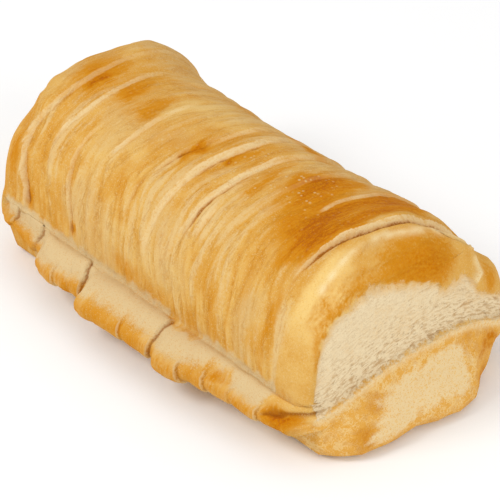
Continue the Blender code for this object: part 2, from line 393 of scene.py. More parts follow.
# here the last roll of dough begins
ROLL_START = 84.0
dome = on_side * smooth((DOME_SHARE - turn) / 0.02)
skirt_v = share(turn, DOME_SHARE, SKIRT_SHARE)
skirt = on_side * smooth((turn - DOME_SHARE) / 0.006) * smooth((SKIRT_END - turn) / 0.01)
print("the skirt takes", round(float(skirt.mean()), 3), "of the points")

# %% The torn patch on the near end: its lower and upper edges
CRUMB_TOP = ((-66, -20), (-61.5, 5), (-59.5, 30), (-58, 46), (-57, 56), (-54, 66), (-50, 72.5),
             (-46, 79), (-40, 83), (-31, 85.3), (-24, 87), (-17, 86), (-10, 83.5), (-2, 82), (3, 79.5),
             (8, 77), (13, 74.6), (16.5, 73), (18, 69), (22, 66.7), (30, 67.3), (38, 67.3), (41, 61),
             (43.5, 56), (48, 52.6), (54, 49), (62, 44))
TEAR_REACH = 6.0
ragged = 1.3 * cloud(py / 4.0, pz / 4.0, 3.0) + 0.8 * cloud(py / 9.0, pz / 9.0, 5.0)
tear_low = 43.9 - 14.5 * np.abs((py - 5.0) / 57.5) ** 2.3
tear_high = np.interp(py, *zip(*CRUMB_TOP))
near_side = smooth((px - 99.0 - 9.0 * smooth((py - 54.0) / 6.0)) / 4.0)
above_low = pz - tear_low - 0.3 * ragged
below_high = tear_high - pz + ragged
inside = np.minimum(above_low, below_high)
tear = np.where(px > 98.0, np.clip(inside, -TEAR_REACH, TEAR_REACH), -TEAR_REACH)
wall = near_side * smooth(-above_low / 1.5 + 0.5)
crumb = near_side * smooth(inside / 1.5 + 0.5)
print("crumb covers", round(float(crumb.mean()), 3), "of the points")

# %% [markdown]
# ## The rolls of dough
#
# Each roll ends in a lip: it rises gently, drops in a pale scarp that faces the torn end, and
# the next roll starts from a thin dark crevice. The scarp is paler stretched dough with a painted
# highlight, as it faces the light, and the crevice's dark colour is painted shade. Every lip below
# is drawn as a line over the dome: how far round, and how far along. The other rows say how high it
# stands, how pale its scarp is and how deep its crevice. Each is one number, or changes on the way
# round.

# %% Lips of the rolls, in millimetres
FOLDS = (
    dict(line=((-100, -106.5), (-93, -104.5), (-88, -105.6), (-78, -108.8), (-67, -110), (-55, -110.2),
               (-45, -109), (-30, -106.8), (-15, -105.3), (10, -104.6), (60, -103.5)),
         width=1.5, height=((-100, 1.8), (-50, 1.8), (-20, 0.9), (10, 0.6), (60, 1.0)),
         pale=((-100, 0.4), (-90, 0.8), (-60, 0.8), (-40, 0.7), (-25, 0.5), (-8, 0.5), (20, 0.2)),
         gap=((-100, 1.0), (-87, 1.0), (-78, 0.5), (-55, 0.3), (-15, 0.4), (5, 0.1))),
    dict(line=((-70, -95.5), (-60, -95), (-44, -94), (-27, -90), (-17, -89), (-5, -88.3), (8, -87.6),
               (40, -86)),
         width=1.2, height=((-70, 0.0), (-50, 0.9), (0, 0.8), (20, 0.3), (40, 0.5)),
         pale=((-60, 0.0), (-50, 0.6), (-42, 1.0), (-20, 0.8), (0, 0.7), (10, 0.3), (22, 0.0)), gap=0.1),
    dict(line=((-100, -69), (-92, -68.5), (-80, -71.5), (-73, -74.5), (-60, -77.2), (-50, -78.5),
               (-42, -78.5), (-35, -77.2), (-25, -76)),
         width=1.0, height=((-100, 1.1), (-60, 0.9), (-40, 0.5), (-25, 0.0)),
         pale=((-100, 0.3), (-75, 0.5), (-50, 0.5), (-35, 0.3), (-25, 0.0)),
         gap=((-100, 0.6), (-92, 1.0), (-86, 0.8), (-78, 0.4), (-60, 0.3), (-45, 0.1), (-30, 0.0))),
    dict(line=((0, -76), (20, -74), (40, -71.5), (60, -70)), width=1.5,
         height=((10, 0.0), (30, 1.2), (60, 1.2)), pale=((-100, 0.0), (60, 0.1)),
         gap=((15, 0.0), (35, 0.4))),
    dict(line=((-50, -60), (-39, -58), (-33, -56.6), (-25, -55.3), (-12, -54), (0, -53), (8, -52.3),
               (30, -51)),
         width=1.2, height=((-50, 0.0), (-38, 0.9), (5, 0.9), (30, 0.5)),
         pale=((-46, 0.0), (-38, 0.9), (-25, 0.6), (0, 0.6), (10, 0.2), (15, 0.0)),
         gap=((-50, 0.0), (-30, 0.2), (10, 0.0))),
    dict(line=((-75, -31), (-62, -32.5), (-45, -33), (-35, -31)), width=0.8,
         height=((-75, 0.0), (-60, 0.4), (-45, 0.4), (-35, 0.0)), pale=((-70, 0.0), (-58, 0.3), (-40, 0.0)),
         gap=((-70, 0.0), (-60, 0.4), (-45, 0.5), (-36, 0.0))),
    dict(line=((-42, -30), (-32, -28), (-25, -26), (-17, -23.7), (-11, -21), (-4, -20.5), (6, -21)),
         width=1.2, height=((-42, 0.0), (-30, 0.7), (-15, 1.2), (6, 0.2)), pale=0.0,
         gap=((-40, 0.0), (-30, 0.6), (-18, 1.0), (-10, 0.9), (-2, 0.2), (5, 0.0))),
    dict(line=((-12, -18), (-2, -16.5), (8, -15), (17, -14), (40, -12)), width=1.4,
         height=((-12, 0.0), (0, 0.8), (17, 1.0), (40, 1.2)),
         pale=((-9, 0.0), (0, 0.5), (14, 0.6), (26, 0.1)), gap=((-8, 0.0), (2, 0.3), (18, 0.2), (40, 0.3))),
    dict(line=((-90, -12), (-72, -13.5), (-62, -13), (-52, -12.6), (-40, -11.2), (-30, -9.5), (-17, -7.7),
               (-7, -5.4), (3, -3.1), (13, -2.2), (25, -1), (60, 1)),
         width=2.0, height=((-90, 0.0), (-70, 0.6), (-45, 1.2), (-10, 1.8), (20, 1.5), (60, 1.2)),
         pale=((-84, 0.0), (-70, 0.5), (-50, 0.8), (-30, 0.8), (-10, 1.0), (5, 0.9), (15, 0.6), (35, 0.4)),
         gap=((-60, 0.1), (-30, 0.4), (-15, 0.7), (-5, 1.0), (3, 0.8), (10, 0.3), (40, 0.3))),
    dict(line=((-70, 5.5), (-55, 6.3), (-42, 7.2), (-32, 8.5), (-22, 10.5), (-12, 12.3), (-2, 13.7),
               (10, 15.3), (25, 17.7), (60, 21)),
         width=1.8, height=((-70, 0.0), (-50, 1.1), (-10, 1.6), (20, 1.4), (60, 1.9)),
         pale=((-64, 0.0), (-55, 0.5), (-42, 0.9), (-22, 1.0), (-5, 1.0), (5, 0.8), (12, 0.4), (35, 0.3)),
         gap=((-60, 0.1), (-52, 0.6), (-45, 0.9), (-30, 0.9), (-20, 0.5), (-8, 0.2), (20, 0.3))),
    dict(line=((-62, 13), (-45, 14.4), (-30, 15.5), (-20, 16.5)), width=1.8,
         height=((-62, 0.0), (-45, 0.6), (-20, 0.0)),
         pale=((-58, 0.0), (-50, 0.7), (-38, 0.6), (-28, 0.0)), gap=((-60, 0.0), (-45, 0.3), (-30, 0.0))),
    dict(line=((-14, 36), (10, 38), (40, 40), (60, 41)), width=1.4,
         height=((-14, 0.0), (12, 0.9), (60, 2.0)), pale=((-100, 0.0), (60, 0.2)),
         gap=((0, 0.0), (20, 0.4))),
    dict(line=((-8, 60.5), (5, 61), (12, 62.5), (30, 65), (60, 68)), width=0.9,
         height=((-10, 0.0), (0, 0.6), (30, 1.1), (60, 1.8)),
         pale=((-9, 0.0), (-4, 0.8), (8, 0.6), (15, 0.8), (30, 0.5)), gap=((-8, 0.0), (0, 0.3), (30, 0.3))),
    # the crack: its pale edge is sharp and its crevice unbroken
    dict(line=((-100, 84.5), (-85, 82.7), (-75, 81.8), (-60, 80.6), (-50, 80.6), (-43, 81.5), (-30, 83.2),
               (-22, 84.5), (-14, 86.6), (-4, 89.8), (3, 91.6), (10, 93), (20, 93.5), (28, 93), (60, 90)),
         width=((-60, 0.8), (-43, 0.6), (-30, 0.8), (-22, 1.0), (-14, 1.2), (-4, 1.4), (10, 1.5),
                (20, 1.4), (30, 1.2)),
         height=((-100, 0.8), (-60, 0.8), (-43, 1.0), (-25, 2.2), (-10, 3.0), (10, 3.2), (60, 2.6)),
         soft=0.5, pale=((-48, 0.0), (-40, 0.5), (-25, 1.0), (60, 1.0)),
         gap=((-60, 0.1), (-42, 0.4), (-30, 1.1), (60, 1.1))),
)
print("lips drawn:", len(FOLDS))

# %% Raise the lips and cut their crevices
RISE_LENGTH = 9.0
CREVICE_DEPTH, CREVICE_WIDTH = 1.2, 0.9
FADE_LENGTH = 6.0
FAR_AWAY = 50.0


def changing(values):
    """A fold's value round the dome: one number, or (place, value) pairs."""
    return values if isinstance(values, float) else along(around, *values)


lips = np.zeros(len(x))
lip_distance = np.full(len(x), FAR_AWAY)
lip_width, lip_soft = np.ones(len(x)), np.ones(len(x))
lip_pale = np.zeros(len(x))
lip_gap = np.zeros(len(x))
for number, fold in enumerate(FOLDS):
    starts, ends = fold["line"][0][0], fold["line"][-1][0]
    wander = (0.5 * cloud(around / 9.0, number * 3.7, 1.0)
              + 0.25 * cloud(around / 3.0, number * 3.7, 8.0))
    width = changing(fold["width"])
    height = changing(fold["height"]) * (0.9 + 0.3 * cloud(around / 14.0, number * 5.1, 2.0))
    reach = smooth((around - starts) / FADE_LENGTH) if starts > -95 else 1.0
    reach = reach * dome * (smooth((ends - around) / FADE_LENGTH) if ends < 55 else 1.0)
    edge = px - curve(around, fold["line"]) - wander - width
    rise = np.where(edge < -2.0 * width, np.exp(np.minimum(edge + 2.0 * width, 0.0) / RISE_LENGTH),
                    1.0 - smooth((edge + 2.0 * width) / (2.0 * width)))
    sharp = "soft" in fold
    gap = changing(fold["gap"])
    if not sharp:
        gap = gap * smooth(0.75 + 0.9 * cloud(around / 5.0, number * 2.3, 4.0))
    lips += reach * height * rise
    lips -= reach * CREVICE_DEPTH * gap * bell(edge - 0.3, CREVICE_WIDTH)
    lips -= reach * 0.25 * height * np.where(edge > 0.0, np.exp(-np.maximum(edge, 0.0) / 3.0), 0.0)
    nearest = (np.abs(edge) < np.abs(lip_distance)) & (reach > 0.01)
    lip_distance = np.where(nearest, edge, lip_distance)
    lip_width = np.where(nearest, 2.0 * width, lip_width)
    lip_soft = np.where(nearest, fold.get("soft", 2.5), lip_soft)
    lip_pale = np.where(nearest, changing(fold["pale"]) * reach, lip_pale)
    lip_gap = np.where(nearest, gap * reach, lip_gap)
print("the highest lip stands", round(float(lips.max()), 2), "mm over the smooth form")

# %% Pleats between the lips
flow = MM * station + 3.2 * cloud(MM * station / 24.0, around / 30.0, 11.0)
flank = smooth((np.abs(around) - 30.0) / 50.0)
pleat_a = cloud(flow / 5.5, around / 48.0, 21.0)
pleat_b = cloud(flow / 9.0, around / 80.0, 31.0)
pleat_c = cloud(flow / 3.4, around / 30.0, 41.0)
# a sharp valley wherever the noise changes sign, a rounded pleat between two of them
valley_a = np.minimum(np.abs(pleat_a) * 3.0, 1.0) ** 0.8
valley_c = np.minimum(np.abs(pleat_c) * 3.0, 1.0) ** 0.8
folded = valley_a + 0.4 * valley_c
before_crack = smooth((MM * (CRACK - station) + 3.0) / 6.0)
pleats = ((0.30 + 0.65 * flank) * (folded - 0.9) + 0.60 * pleat_b) * dome * before_crack
swell = 1.1 * cloud(px / 30.0, around / 45.0, 51.0) * dome * (0.3 + 0.7 * before_crack)
print("pleats up to", round(float(np.abs(pleats).max()), 2), "mm")

# %% [markdown]
# ## The skirt
#
# The overhanging dough set early and then split as the loaf went on rising. It is a row of
# pieces. Each starts tucked in behind the one before it and swells towards its own end.

# %% Breaks and seams of the skirt, in millimetres
# side, where it crosses the shelf, slant over the skirt, step, length of the tuck, gap,
# and 0 for a seam on the side only, 1 for a break all through, 2 for one that closes lower down
SPLITS = (
    (-1, -111.0, -5.0, 2.0, 9.0, 0.8, 2.0), (-1, -90.0, -4.0, 2.6, 12.0, 0.8, 2.0),
    (-1, -66.0, 3.0, 1.0, 6.0, 0.3, 0.0), (-1, -48.5, 6.0, 3.0, 16.0, 1.0, 1.0),
    (-1, -9.0, 2.0, 1.0, 8.0, 0.4, 0.0), (-1, 14.5, -3.0, 2.4, 12.0, 1.0, 1.0),
    (-1, 35.0, 6.0, 1.6, 7.0, 0.6, 0.0), (-1, 50.0, 4.0, 1.5, 7.0, 0.5, 0.0),
    (-1, 67.0, 3.0, 1.0, 6.0, 0.2, 0.0), (-1, 87.0, 3.0, 1.4, 6.0, 0.6, 0.2),
    (1, -98.0, -4.0, 2.0, 12.0, 0.8, 1.0), (1, -70.0, 3.0, 1.0, 6.0, 0.3, 0.0),
    (1, -41.0, -3.0, 2.4, 14.0, 1.0, 1.0), (1, -12.0, 3.0, 1.0, 7.0, 0.4, 0.0),
    (1, 26.0, -3.0, 2.2, 12.0, 0.9, 1.0), (1, 58.0, 4.0, 1.2, 7.0, 0.5, 0.0),
    (1, ROLL_START, 3.0, 1.2, 6.0, 0.5, 0.2),
)
STEP_DOWN, STEP_UP = 0.55, 0.15
GAP_DEPTH, CREASE_DEPTH = 0.5, 0.6
skirt_relief = (0.5 * cloud(px / 14.0, skirt_v / 0.5, side * 61.0)
                + 0.25 * cloud(px / 4.0, skirt_v / 0.25, side * 65.0))
split_distance = np.full(len(x), FAR_AWAY)
split_gap = np.zeros(len(x))
for which, at, slant, step, length, gap, open_top in SPLITS:
    bend = 0.7 * cloud(skirt_v / 0.22, at, 71.0) + 0.35 * cloud(skirt_v / 0.07, at, 73.0)
    d = px - at - slant * (skirt_v - 0.2) - bend
    low = smooth((skirt_v - 0.25) / 0.25) if open_top < 0.5 else smooth(skirt_v / 0.05)
    gap = gap * (1.0 - 0.85 * smooth((skirt_v - 0.40) / 0.20)) if open_top > 1.5 else gap
    here = (side == which) * skirt * low
    skirt_relief -= here * STEP_DOWN * step * smooth((d + 0.4) / 0.8) * (1.0 - smooth(d / length))
    before = np.where(d < 0.0, np.exp(np.minimum(d, 0.0) / 6.0), 0.0)
    skirt_relief += here * STEP_UP * step * before * (1.0 - smooth((d + 0.4) / 0.8))
    skirt_relief -= here * GAP_DEPTH * gap * bell(d - 0.6, 0.7)
    nearest = (np.abs(d) < np.abs(split_distance)) & (side == which)
    split_distance = np.where(nearest, d, split_distance)
    split_gap = np.where(nearest, here * gap, split_gap)
crease = bell(turn - DOME_SHARE, 0.012) * on_side
crease_shown = smooth(0.5 + 1.2 * cloud(px / 9.0, side * 7.0, 77.0))
skirt_relief = skirt_relief * skirt - CREASE_DEPTH * crease * crease_shown
print("splits on the near side:", sum(1 for split in SPLITS if split[0] < 0))

# %% [markdown]
# ## The torn end
#
# Where two loaves pull apart the crumb shears: it shows long fibres that run along the tear,
# and holes where a gas bubble was opened. It lies a little behind the crust's edge and behind
# the upper edge of the wall that stood in the tin.

# %% Crumb relief: step back, fibres and holes
TEAR_DEPTH = 1.6
FIBRES_HIGH, LUMPS_HIGH, GRAIN_HIGH, HOLE_DEPTH = 0.24, 0.6, 0.25, 0.55
fibrous = smooth((62.0 - pz) / 16.0) * 0.6 + 0.4 * smooth((py + 12.0) / 20.0)
fibre = cloud(py / 7.0, above_low / 2.4, 81.0)
lumps = cloud(py / 12.0, pz / 9.0, 95.0)
hole = smooth((cloud(py / 4.6, above_low / 3.0, 99.0) - 0.34) / 0.2)
crumb_relief = (FIBRES_HIGH * fibrous * fibre + LUMPS_HIGH * lumps
                + GRAIN_HIGH * cloud(py / 4.0, pz / 3.5, 97.0) - HOLE_DEPTH * hole * fibrous)
crumb_relief = crumb * (1.0 - 0.7 * smooth((np.abs(py) - 48.0) / 8.0)) * crumb_relief
step_in = TEAR_DEPTH * smooth(above_low / 2.0) * smooth(below_high / 4.0 + 0.3) * near_side
print("holes on", round(float((hole * crumb).mean() / crumb.mean()), 3), "of the crumb")

# %% The end roll: a ridge over its right shoulder, a lower right side, and the wall below
RIDGE = ((99, -43, 86), (98.5, -36, 91.5), (97, -23, 98), (96.7, -14, 99.8), (97.7, -4, 99.5),
         (101, 8, 97.7), (103, 21, 94), (105, 33, 88), (108, 43, 78), (113, 46, 71), (117, 46, 64),
         (119, 42, 62))


def line_distance(line):
    """Distance over the surface, of every point, from a line that lies near the surface."""
    here = np.stack([px, py, pz], 1)
    nearest = np.full(len(px), 1e3)
    for a, b in zip(line[:-1], line[1:]):
        a, b = np.array(a, dtype=float), np.array(b, dtype=float)
        t = np.clip((here - a) @ (b - a) / ((b - a) @ (b - a)), 0.0, 1.0)
        offset = here - a - t[:, None] * (b - a)
        offset -= 0.9 * (offset * normals).sum(1)[:, None] * normals
        nearest = np.minimum(nearest, np.linalg.norm(offset, axis=1))
    return nearest


RIGHT_DROP = 4.0
ridge_distance = line_distance(RIDGE)
end_zone = smooth((px - 88.0) / 5.0)
ridge_relief = (0.3 + 1.3 * smooth((py - 8.0) / 16.0)) * bell(ridge_distance, 1.6) * end_zone
right_drop = (RIGHT_DROP * smooth((px - ROLL_START) / 10.0) * smooth((py - 12.0) / 22.0)
              * smooth((pz - 58.0) / 14.0))
wall_relief = wall * (0.55 * cloud(py / 10.0, pz / 8.0, 101.0) + 0.30 * cloud(py / 3.5, pz / 3.5, 103.0)
                      + 0.9 * bell(above_low, 2.2))
# a crease of the end roll, low down on the left: height over a line that rises towards the end
crease_height = pz - np.interp(px, (88.0, 91.3, 100.0, 104.5, 112.0), (24.6, 25.3, 26.9, 28.6, 28.2))
crease_height += 0.4 * cloud(px / 4.0, 3.0, 7.0)
foot_crease = (bell(crease_height, 0.9) * smooth((px - 89.0) / 4.0) * (py < -50.0)
               * smooth((116.0 - px) / 4.0))
print("ridge on", int((ridge_distance < 2.0).sum()), "points")

# %% Move every point along its normal
relief = lips + pleats + swell + skirt_relief + crumb_relief + ridge_relief + wall_relief
relief = (relief - step_in - right_drop - foot_crease) * smooth(pz / 4.0) / MM
ragged_foot = 0.0009 * near_side * (1.0 - smooth((pz - 4.0) / 8.0)) * cloud(py / 2.6, pz / 3.0, 171.0)
x = x + normals[:, 0] * relief + ragged_foot
y = y + normals[:, 1] * relief
z = np.maximum(z + normals[:, 2] * relief, 0.0)
normals = put(loaf.data, x, y, z)
print("loaf with relief", [round(float(c.max() - c.min()), 4) for c in (x, y, z)], "m")

# %% [markdown]
# ## Browning
#
# Bread browns where it dries first: on top, on thin edges, and where a lip caught the heat. The
# patches on this loaf are listed one by one, each as a soft oval, and streaks that follow the
# pleats break up their edges.

# %% Browned patches of the dome
# along the loaf, round the dome, half length, half width, strength; millimetres
DOME_PATCHES = (
    (-100.5, -9, 3.0, 10, 0.95), (-108, -7, 7, 10, 0.45), (-117, -72, 5, 14, 0.45), (-95, -10, 3, 12, 0.3),
    (-82, -3, 7, 10, 0.5), (-60, -5, 6, 10, 0.6), (-68, -9, 8, 14, 0.2), (-38, -18, 10, 8, 0.13),
    (-21, -14, 2.2, 7, 0.95), (-17.5, -12, 2.5, 5, 0.6), (-28, -8, 5, 12, 0.12), (-0.5, -8, 1.3, 6, 0.8),
    (2.5, 0, 3, 14, 0.3), (24, -12, 3, 12, 0.35), (21, 5, 3, 12, 0.25), (39, -3, 3, 14, 0.4),
    (46, 2, 4, 16, 0.75), (44, 16, 4, 10, 0.75), (54, 0, 6, 22, 0.55), (60, -22, 8, 10, 0.5),
    (67, -7, 7, 13, 0.85), (72, -14, 9, 11, 0.85), (77, -27, 6, 9, 0.7), (68, 15, 4, 20, 0.6),
    (75, 25, 8, 18, 0.8), (82, 5, 4.5, 14, 0.6), (78, -21, 5, 8, 0.75), (82, -9, 4, 9, 0.7),
    (85, 8, 4, 10, 0.55), (86, 24, 4, 12, 0.5), (71, -20, 6, 8, 0.5), (68, -38, 8, 6, 0.25),
    (52, 20, 3, 12, 0.4), (108, 2, 9, 30, 0.35), (79, -70, 3, 26, 0.25), (-67, -91, 2.5, 5, 0.6),
    (-25, -92, 12, 7, 0.3), (-102, -92, 2, 6, 0.5), (10, 36, 14, 6, 0.5), (-40, 40, 14, 8, 0.2),
    (75, 45, 10, 18, 0.35), (71, -22, 3.5, 13, 0.9), (68, -4, 3, 9, 0.8), (39, 10, 4, 9, 0.75),
    (57, -58, 8, 16, 0.12), (34, 4, 4, 8, 0.5), (44, 6, 4, 10, 0.5),
)
# along the loaf, place over the skirt, half length, half width, strength
SKIRT_PATCHES = (
    (101, 0.45, 6, 0.12, 0.9), (99, 0.60, 8, 0.25, 0.6), (-8, 0.55, 2.5, 0.18, 0.5),
    (-112, 0.75, 8, 0.2, 0.4), (57, 0.42, 7, 0.16, 0.35), (-57, 0.72, 5, 0.16, 0.4),
    (2, 0.68, 7, 0.18, 0.35), (-100, 0.72, 8, 0.16, 0.35), (-38, 0.80, 12, 0.15, 0.3),
    (24, 0.80, 8, 0.15, 0.3), (75, 0.70, 10, 0.2, 0.3),
)
# across the end, height, half length, half width, strength
END_PATCHES = (
    (-2, 88, 24, 10, 0.28), (8, 86, 17, 8, 0.38), (20, 80, 12, 11, 0.38), (-34, 25, 11, 6, 0.35),
    (-42, 14, 8, 6, 0.45), (40, 27, 12, 9, 0.3), (-52, 24, 5, 6, 0.10), (40, 12, 9, 6, 0.6),
    (48, 24, 7, 8, 0.5), (30, 36, 14, 4, 0.35), (5, 5, 34, 3, 0.2), (52, 58, 5, 12, 0.3),
    (-66, 21, 5, 5, 0.45), (-27, 26, 6, 5, 0.5), (-38, 12, 5, 8, 0.6),
)
# places on the dome that stayed pale, in the same terms as the browned ones
PALE_PATCHES = (
    (-55, 0, 8, 9, 0.9), (-46, 9, 8, 9, 0.9), (-34, 4, 5, 12, 0.5), (-73, -2, 5, 9, 0.5),
    (-64, -28, 7, 14, 0.4), (-50, -32, 7, 14, 0.4), (12, -82, 12, 9, 0.6), (-35, -84, 14, 14, 0.4),
    (82, -52, 3, 10, 0.5), (-10, -86, 12, 9, 0.4), (-44, 16, 13, 12, 0.9), (-20, 14, 8, 9, 0.5),
    (-62, -50, 10, 14, 0.5),
)
print("patches placed by hand:", sum(map(len, (DOME_PATCHES, SKIRT_PATCHES, END_PATCHES, PALE_PATCHES))))

# %% Lay the patches over the crust, their edges bent by noise
SKIRT_BROWN, EDGE_BROWN = 0.22, 0.24


def ovals(patches, u, v, where):
    """Soft ovals laid over each other, so that two together never pass 1."""
    cover = np.zeros(len(x))
    for at_u, at_v, half_u, half_v, strength in patches:
        away = ((u - at_u) / half_u) ** 2 + ((v - at_v) / half_v) ** 2
        cover = 1.0 - (1.0 - cover) * (1.0 - strength * np.exp(-np.clip(away, 0.0, 50.0)) * where)
    return cover


warp_u = 2.6 * cloud(px / 6.0, around / 9.0, 151.0) + 1.2 * cloud(px / 2.5, around / 5.0, 153.0)
warp_v = 5.0 * cloud(px / 8.0, around / 12.0, 157.0) + 2.0 * cloud(px / 2.5, around / 5.0, 159.0)
end_crust = smooth((px - 97.0) / 4.0) * smooth(0.5 - tear)
below_edge = np.maximum(-inside, 0.0)
browning = ovals(DOME_PATCHES, px + warp_u, around + warp_v, dome * (1.0 - 0.6 * end_crust))
browning = np.maximum(browning, ovals(SKIRT_PATCHES, px + warp_u, skirt_v + 0.02 * warp_v, skirt))
browning = np.maximum(browning, ovals(END_PATCHES, py + 0.4 * warp_v, pz + 0.5 * warp_u, end_crust))
# a band of darker crust along the upper edge of the crumb, on the left
edge_band = (bell(np.maximum(below_edge - 2.0, 0.0), 6.5) * end_crust * smooth((14.0 - py) / 20.0)
             * smooth((pz - 32.0) / 14.0))
edge_brown = EDGE_BROWN * edge_band * (1.0 + 0.2 * cloud(py / 6.0, pz / 6.0, 161.0))
browning = np.maximum(browning, edge_brown)
browning = np.maximum(browning, SKIRT_BROWN * skirt * bell(skirt_v - 0.62, 0.22))
# the crown is a shade warmer than the sides, and the right side, turned from the light, gets painted shade
# in a duller tan
right_side_shade = dome * smooth((around - 12.0) / 16.0) * smooth((ROLL_START - px) / 8.0)
warmth = dome * bell(around + 8.0, 20.0) * smooth(0.75 + 1.2 * cloud(px / 16.0, around / 18.0, 163.0))
warmth *= 1.0 - smooth((px - 82.0) / 6.0)
faded = ovals(PALE_PATCHES, px + warp_u, around + warp_v, dome)
browning *= 1.0 - 0.95 * faded
print("browned over a half:", round(float((browning > 0.5).mean()), 3))

# %% [markdown]
# ## Flour
#
# The tin was dusted, so flour still lies where the dough touched it or sagged over it: on the
# skirt's shelf, in pale clouds on the lower wall, and a little way up the foot of the dome.

# %% Floury places
# place along the loaf, and how far over the skirt the flour reaches outwards and inwards
FLOUR_OUT = ((-122, 0.30), (-108, 0.40), (-95, 0.45), (-90, 0.52), (-75, 0.50), (-69, 0.40),
             (-50, 0.46), (-47, 0.40), (-30, 0.34), (12, 0.34), (16, 0.38), (33, 0.36), (48, 0.33),
             (50, 0.20), (64, 0.22), (68, 0.40), (85, 0.45), (91, 0.10), (94, 0.0), (100, 0.0))
FLOUR_IN = ((-122, 0.0), (-50, 0.0), (-45, 0.05), (10, 0.05), (14, 0.15), (33, 0.14), (37, 0.0),
            (88, 0.0), (100, 0.1))
out_edge = np.interp(px, *zip(*FLOUR_OUT)) + 0.07 * cloud(px / 5.0, 1.0, side * 131.0)
bare_foot = np.interp(px, *zip(*FLOUR_IN))
in_edge = bare_foot - 0.04 + 0.05 * cloud(px / 6.0, 2.0, side * 133.0)
flour = skirt * smooth((out_edge - skirt_v) / 0.34 + 0.55) * smooth((skirt_v - in_edge) / 0.09 + 0.5)
# across the end, height, half width, half height
PALE_WALL = ((0, 24, 27, 10), (-17, 16, 14, 8), (16, 29, 13, 7), (20, 20, 9, 10), (-30, 10, 7, 4))
pale_wall = np.zeros(len(x))
for at_y, at_z, half_y, half_z in PALE_WALL:
    reach = 1.0 - np.hypot((py - at_y) / half_y, (pz - at_z) / half_z)
    pale_wall = np.maximum(pale_wall, smooth(reach * 2.0 + 0.5 + 0.6 * cloud(py / 5.0, pz / 5.0, 141.0)))
flour = np.maximum(flour, 0.9 * pale_wall * wall)
# the dust also lies a little way up the foot of the dome, with a broken edge
dust_line = np.abs(around) - 97.8 + 2.2 * cloud(px / 5.0, side * 5.0, 135.0)
dust_line = dust_line + cloud(px / 1.8, around / 3.0, 137.0)
on_foot = on_side & (turn < DOME_SHARE + 0.004) & (px < 90.0)
dust = np.where(on_foot, smooth(dust_line / 2.0 + 0.5), skirt)
flour = np.where(on_foot, 0.85 * smooth((0.09 - bare_foot) / 0.05), flour)
print("floury:", round(float(flour.mean()), 3))

# %% [markdown]
# ## Marks on the mesh
#
# A material can't see how far a point lies from a lip or a crack, so each such value is stored
# on the mesh under its own name. Two flat maps do the same for patterns with a direction: one
# follows the pleats of the crust, the other the fibres of the torn end.

# %% Store the marks on the mesh
# along the loaf, round the dome, half length, half width, strength
BLISTERS = ((35, -3, 26, 22, 1.0), (-38, -14, 14, 12, 0.6), (5, -10, 20, 20, 0.5))
# the pleats' height, kept as a mark: it paints their crests lighter and their valleys darker, as painted
# light and shade
pleat_light = np.clip(0.10 + 0.55 * folded + 0.5 * pleat_b, 0.0, 1.0)
blister = dome * np.maximum(ovals(BLISTERS, px, around, 1.0), 0.15)
roll = np.maximum(end_zone * smooth((MM * station - ROLL_START) / 3.0) * dome, near_side * (1.0 - wall))
roll = np.maximum(roll, on_far * smooth((1.0 - inset) / 0.12))
last_part = smooth((MM * station - ROLL_START) / 5.0)
roll = np.maximum(roll, skirt * (side < 0) * last_part * smooth(crease_height + 0.5))
# a painted highlight in a band over the end roll's upper left shoulder
highlight_line = py + 46.0 - 0.5 * (pz - 82.0) - 0.5 * np.maximum(pz - 82.0, 0.0)
roll_highlight = (px > 0.0) * bell(highlight_line, 10.0) * (0.15 + 0.85 * smooth((pz - 58.0) / 20.0))
ridge = (bell(ridge_distance, 1.9) * end_zone
         * smooth(0.7 + 0.8 * cloud(py / 6.0, pz / 6.0, 181.0)))
MARKS = {
    "browning": browning, "faded": faded, "warmth": warmth, "right_side_shade": right_side_shade,
    "pleat": pleat_light, "blister": blister, "flour": flour, "dust": dust, "skirt": skirt,
    "lip_distance": lip_distance, "lip_width": lip_width, "lip_soft": lip_soft,
    "lip_pale": lip_pale, "lip_gap": lip_gap, "split_distance": split_distance,
    "split_gap": split_gap, "roll": roll, "roll_highlight": roll_highlight, "ridge": ridge,
    "foot_crease": foot_crease, "wall": wall, "tear": tear, "hole": hole * fibrous * crumb,
}
for name, values in MARKS.items():
    layer = loaf.data.attributes.new(name, "FLOAT", "POINT")
    layer.data.foreach_set("value", values.astype(np.float32))
print("marks:", ", ".join(MARKS))

# %% Two maps for patterns that follow the pleats and the fibres
# on the ends the first map goes on inwards, and its seam lies under the middle of the base
uv = loaf.data.uv_layers.new(name="skin")
corner = np.empty(len(loaf.data.loops), dtype=np.int64)
loaf.data.loops.foreach_get("vertex_index", corner)
first_corner = np.array([face.loop_start for face in loaf.data.polygons])
corner_count = np.array([face.loop_total for face in loaf.data.polygons])
map_u = (flow + 55.0 * (1.0 - inset) * (on_near * 1.0 - on_far))[corner]
map_v = around[corner]
widest = np.maximum.reduceat(map_v, first_corner) - np.minimum.reduceat(map_v, first_corner)
over_seam = np.repeat(widest > DOME_ROUND, corner_count) & (map_v < 0.0)
map_v = np.where(over_seam, map_v + 2.0 * DOME_ROUND / DOME_SHARE, map_v)
uv.data.foreach_set("uv", np.stack([map_u, map_v], 1).ravel().astype(np.float32))
torn_map = loaf.data.uv_layers.new(name="torn")
torn_map.data.foreach_set("uv", np.stack([py[corner], above_low[corner]], 1).ravel().astype(np.float32))
only(loaf)
bpy.ops.object.shade_smooth()
print("maps:", ", ".join(layer.name for layer in loaf.data.uv_layers))

# %% [markdown]
# ## Materials
#
# Crust and crumb are both matt and warm. What makes them read as bread is their change from
# place to place. The marks stored on the mesh say where and how far, and finer noise in the
# material breaks up their edges. Distances make crisper lines than stored masks would, because
# a distance stays true between two points of the mesh.

# %% Colours
def colour(red, green, blue):
    """A shader's linear colour from the 0 to 255 values that a screen shows."""
    def linear(c):
        c /= 255.0
        return c / 12.92 if c <= 0.04045 else ((c + 0.055) / 1.055) ** 2.4
    return (linear(red), linear(green), linear(blue), 1.0)


